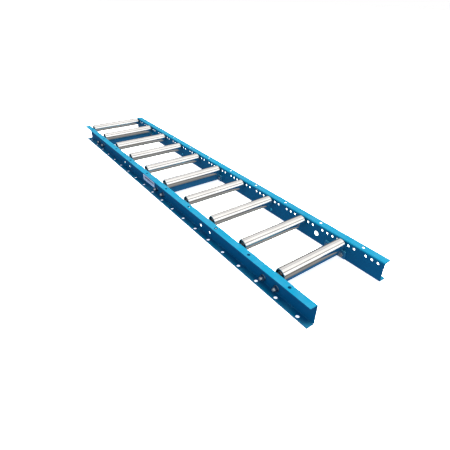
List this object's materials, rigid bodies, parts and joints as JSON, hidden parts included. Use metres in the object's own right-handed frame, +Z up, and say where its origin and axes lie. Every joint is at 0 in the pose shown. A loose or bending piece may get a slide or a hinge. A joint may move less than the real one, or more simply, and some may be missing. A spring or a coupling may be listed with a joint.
{
  "type": "gravity roller conveyor",
  "caption": "Straight gravity conveyor section: zinc tube rollers with ball bearings and sprung hexagonal axles between two blue outward-facing steel channels with bolted cross-members.",
  "frame": {"origin": "middle of the conveyor, between the rails, on the surface that it stands on", "axes": "+X along the conveyor towards the near end, +Y across it towards the rear rail, +Z up"},
  "size_m": [1.524, 0.3048, 0.0683],
  "materials": {
    "rail_paint": "smooth semi-gloss blue powder coat",
    "cross_member_paint": "smooth semi-gloss blue powder coat",
    "tube_zinc": "bright galvanised tube with fine drawn lines",
    "axle_zinc": "plain zinc-plated bar",
    "bearing_cup_steel": "blackened and greased pressed steel",
    "bearing_cone_steel": "hardened steel with an oily film",
    "ball_steel": "polished",
    "spring_steel": "drawn spring wire",
    "zinc_fastener": "bright zinc plate",
    "label_face": "blank white vinyl"
  },
  "bodies": {
    "frame": {"front_rail": "rail_paint", "rear_rail": "rail_paint", "near_cross_member": "cross_member_paint", "middle_cross_member": "cross_member_paint", "far_cross_member": "cross_member_paint", "cross_member_bolts": "zinc_fastener", "cross_member_nuts": "zinc_fastener", "bearing_cones": "bearing_cone_steel", "rail_label": "label_face", "roller_01_axle_spring": "spring_steel", "roller_02_axle_spring": "spring_steel", "roller_03_axle_spring": "spring_steel", "roller_04_axle_spring": "spring_steel", "roller_05_axle_spring": "spring_steel", "roller_06_axle_spring": "spring_steel", "roller_07_axle_spring": "spring_steel", "roller_08_axle_spring": "spring_steel", "roller_09_axle_spring": "spring_steel", "roller_10_axle_spring": "spring_steel"},
    "roller_01": {"roller_01_tube": "tube_zinc", "roller_01_bearing_cups": "bearing_cup_steel"},
    "ball_set_01": {"roller_01_bearing_balls": "ball_steel"},
    "axle_01": {"roller_01_axle": "axle_zinc"},
    "roller_02": {"roller_02_tube": "tube_zinc", "roller_02_bearing_cups": "bearing_cup_steel"},
    "ball_set_02": {"roller_02_bearing_balls": "ball_steel"},
    "axle_02": {"roller_02_axle": "axle_zinc"},
    "roller_03": {"roller_03_tube": "tube_zinc", "roller_03_bearing_cups": "bearing_cup_steel"},
    "ball_set_03": {"roller_03_bearing_balls": "ball_steel"},
    "axle_03": {"roller_03_axle": "axle_zinc"},
    "roller_04": {"roller_04_tube": "tube_zinc", "roller_04_bearing_cups": "bearing_cup_steel"},
    "ball_set_04": {"roller_04_bearing_balls": "ball_steel"},
    "axle_04": {"roller_04_axle": "axle_zinc"},
    "roller_05": {"roller_05_tube": "tube_zinc", "roller_05_bearing_cups": "bearing_cup_steel"},
    "ball_set_05": {"roller_05_bearing_balls": "ball_steel"},
    "axle_05": {"roller_05_axle": "axle_zinc"},
    "roller_06": {"roller_06_tube": "tube_zinc", "roller_06_bearing_cups": "bearing_cup_steel"},
    "ball_set_06": {"roller_06_bearing_balls": "ball_steel"},
    "axle_06": {"roller_06_axle": "axle_zinc"},
    "roller_07": {"roller_07_tube": "tube_zinc", "roller_07_bearing_cups": "bearing_cup_steel"},
    "ball_set_07": {"roller_07_bearing_balls": "ball_steel"},
    "axle_07": {"roller_07_axle": "axle_zinc"},
    "roller_08": {"roller_08_tube": "tube_zinc", "roller_08_bearing_cups": "bearing_cup_steel"},
    "ball_set_08": {"roller_08_bearing_balls": "ball_steel"},
    "axle_08": {"roller_08_axle": "axle_zinc"},
    "roller_09": {"roller_09_tube": "tube_zinc", "roller_09_bearing_cups": "bearing_cup_steel"},
    "ball_set_09": {"roller_09_bearing_balls": "ball_steel"},
    "axle_09": {"roller_09_axle": "axle_zinc"},
    "roller_10": {"roller_10_tube": "tube_zinc", "roller_10_bearing_cups": "bearing_cup_steel"},
    "ball_set_10": {"roller_10_bearing_balls": "ball_steel"},
    "axle_10": {"roller_10_axle": "axle_zinc"}
  },
  "joints": [
    {"name": "roller_01_spin", "type": "hinge", "parent": "frame", "child": "roller_01", "pos_m": [0.62865, 0, 0.0508], "axis": [0, 1, 0], "continuous": true},
    {"name": "ball_set_01_orbit", "type": "hinge", "parent": "frame", "child": "ball_set_01", "pos_m": [0.62865, 0, 0.0508], "axis": [0, 1, 0], "continuous": true},
    {"name": "axle_01_push", "type": "slide", "parent": "frame", "child": "axle_01", "axis": [0, 1, 0], "range_m": [0, 0.008], "stiffness_N_per_m": 765, "springref_m": -0.012, "deforming": ["roller_01_axle_spring"]},
    {"name": "roller_02_spin", "type": "hinge", "parent": "frame", "child": "roller_02", "pos_m": [0.47625, 0, 0.0508], "axis": [0, 1, 0], "continuous": true},
    {"name": "ball_set_02_orbit", "type": "hinge", "parent": "frame", "child": "ball_set_02", "pos_m": [0.47625, 0, 0.0508], "axis": [0, 1, 0], "continuous": true},
    {"name": "axle_02_push", "type": "slide", "parent": "frame", "child": "axle_02", "axis": [0, 1, 0], "range_m": [0, 0.008], "stiffness_N_per_m": 765, "springref_m": -0.012, "deforming": ["roller_02_axle_spring"]},
    {"name": "roller_03_spin", "type": "hinge", "parent": "frame", "child": "roller_03", "pos_m": [0.32385, 0, 0.0508], "axis": [0, 1, 0], "continuous": true},
    {"name": "ball_set_03_orbit", "type": "hinge", "parent": "frame", "child": "ball_set_03", "pos_m": [0.32385, 0, 0.0508], "axis": [0, 1, 0], "continuous": true},
    {"name": "axle_03_push", "type": "slide", "parent": "frame", "child": "axle_03", "axis": [0, 1, 0], "range_m": [0, 0.008], "stiffness_N_per_m": 765, "springref_m": -0.012, "deforming": ["roller_03_axle_spring"]},
    {"name": "roller_04_spin", "type": "hinge", "parent": "frame", "child": "roller_04", "pos_m": [0.17145, 0, 0.0508], "axis": [0, 1, 0], "continuous": true},
    {"name": "ball_set_04_orbit", "type": "hinge", "parent": "frame", "child": "ball_set_04", "pos_m": [0.17145, 0, 0.0508], "axis": [0, 1, 0], "continuous": true},
    {"name": "axle_04_push", "type": "slide", "parent": "frame", "child": "axle_04", "axis": [0, 1, 0], "range_m": [0, 0.008], "stiffness_N_per_m": 765, "springref_m": -0.012, "deforming": ["roller_04_axle_spring"]},
    {"name": "roller_05_spin", "type": "hinge", "parent": "frame", "child": "roller_05", "pos_m": [0.01905, 0, 0.0508], "axis": [0, 1, 0], "continuous": true},
    {"name": "ball_set_05_orbit", "type": "hinge", "parent": "frame", "child": "ball_set_05", "pos_m": [0.01905, 0, 0.0508], "axis": [0, 1, 0], "continuous": true},
    {"name": "axle_05_push", "type": "slide", "parent": "frame", "child": "axle_05", "axis": [0, 1, 0], "range_m": [0, 0.008], "stiffness_N_per_m": 765, "springref_m": -0.012, "deforming": ["roller_05_axle_spring"]},
    {"name": "roller_06_spin", "type": "hinge", "parent": "frame", "child": "roller_06", "pos_m": [-0.13335, 0, 0.0508], "axis": [0, 1, 0], "continuous": true},
    {"name": "ball_set_06_orbit", "type": "hinge", "parent": "frame", "child": "ball_set_06", "pos_m": [-0.13335, 0, 0.0508], "axis": [0, 1, 0], "continuous": true},
    {"name": "axle_06_push", "type": "slide", "parent": "frame", "child": "axle_06", "axis": [0, 1, 0], "range_m": [0, 0.008], "stiffness_N_per_m": 765, "springref_m": -0.012, "deforming": ["roller_06_axle_spring"]},
    {"name": "roller_07_spin", "type": "hinge", "parent": "frame", "child": "roller_07", "pos_m": [-0.28575, 0, 0.0508], "axis": [0, 1, 0], "continuous": true},
    {"name": "ball_set_07_orbit", "type": "hinge", "parent": "frame", "child": "ball_set_07", "pos_m": [-0.28575, 0, 0.0508], "axis": [0, 1, 0], "continuous": true},
    {"name": "axle_07_push", "type": "slide", "parent": "frame", "child": "axle_07", "axis": [0, 1, 0], "range_m": [0, 0.008], "stiffness_N_per_m": 765, "springref_m": -0.012, "deforming": ["roller_07_axle_spring"]},
    {"name": "roller_08_spin", "type": "hinge", "parent": "frame", "child": "roller_08", "pos_m": [-0.43815, 0, 0.0508], "axis": [0, 1, 0], "continuous": true},
    {"name": "ball_set_08_orbit", "type": "hinge", "parent": "frame", "child": "ball_set_08", "pos_m": [-0.43815, 0, 0.0508], "axis": [0, 1, 0], "continuous": true},
    {"name": "axle_08_push", "type": "slide", "parent": "frame", "child": "axle_08", "axis": [0, 1, 0], "range_m": [0, 0.008], "stiffness_N_per_m": 765, "springref_m": -0.012, "deforming": ["roller_08_axle_spring"]},
    {"name": "roller_09_spin", "type": "hinge", "parent": "frame", "child": "roller_09", "pos_m": [-0.59055, 0, 0.0508], "axis": [0, 1, 0], "continuous": true},
    {"name": "ball_set_09_orbit", "type": "hinge", "parent": "frame", "child": "ball_set_09", "pos_m": [-0.59055, 0, 0.0508], "axis": [0, 1, 0], "continuous": true},
    {"name": "axle_09_push", "type": "slide", "parent": "frame", "child": "axle_09", "axis": [0, 1, 0], "range_m": [0, 0.008], "stiffness_N_per_m": 765, "springref_m": -0.012, "deforming": ["roller_09_axle_spring"]},
    {"name": "roller_10_spin", "type": "hinge", "parent": "frame", "child": "roller_10", "pos_m": [-0.74295, 0, 0.0508], "axis": [0, 1, 0], "continuous": true},
    {"name": "ball_set_10_orbit", "type": "hinge", "parent": "frame", "child": "ball_set_10", "pos_m": [-0.74295, 0, 0.0508], "axis": [0, 1, 0], "continuous": true},
    {"name": "axle_10_push", "type": "slide", "parent": "frame", "child": "axle_10", "axis": [0, 1, 0], "range_m": [0, 0.008], "stiffness_N_per_m": 765, "springref_m": -0.012, "deforming": ["roller_10_axle_spring"]}
  ],
  "couplings": [
    {"joint": "ball_set_01_orbit", "follows": "roller_01_spin", "ratio": 0.6156},
    {"joint": "ball_set_02_orbit", "follows": "roller_02_spin", "ratio": 0.6156},
    {"joint": "ball_set_03_orbit", "follows": "roller_03_spin", "ratio": 0.6156},
    {"joint": "ball_set_04_orbit", "follows": "roller_04_spin", "ratio": 0.6156},
    {"joint": "ball_set_05_orbit", "follows": "roller_05_spin", "ratio": 0.6156},
    {"joint": "ball_set_06_orbit", "follows": "roller_06_spin", "ratio": 0.6156},
    {"joint": "ball_set_07_orbit", "follows": "roller_07_spin", "ratio": 0.6156},
    {"joint": "ball_set_08_orbit", "follows": "roller_08_spin", "ratio": 0.6156},
    {"joint": "ball_set_09_orbit", "follows": "roller_09_spin", "ratio": 0.6156},
    {"joint": "ball_set_10_orbit", "follows": "roller_10_spin", "ratio": 0.6156}
  ]
}
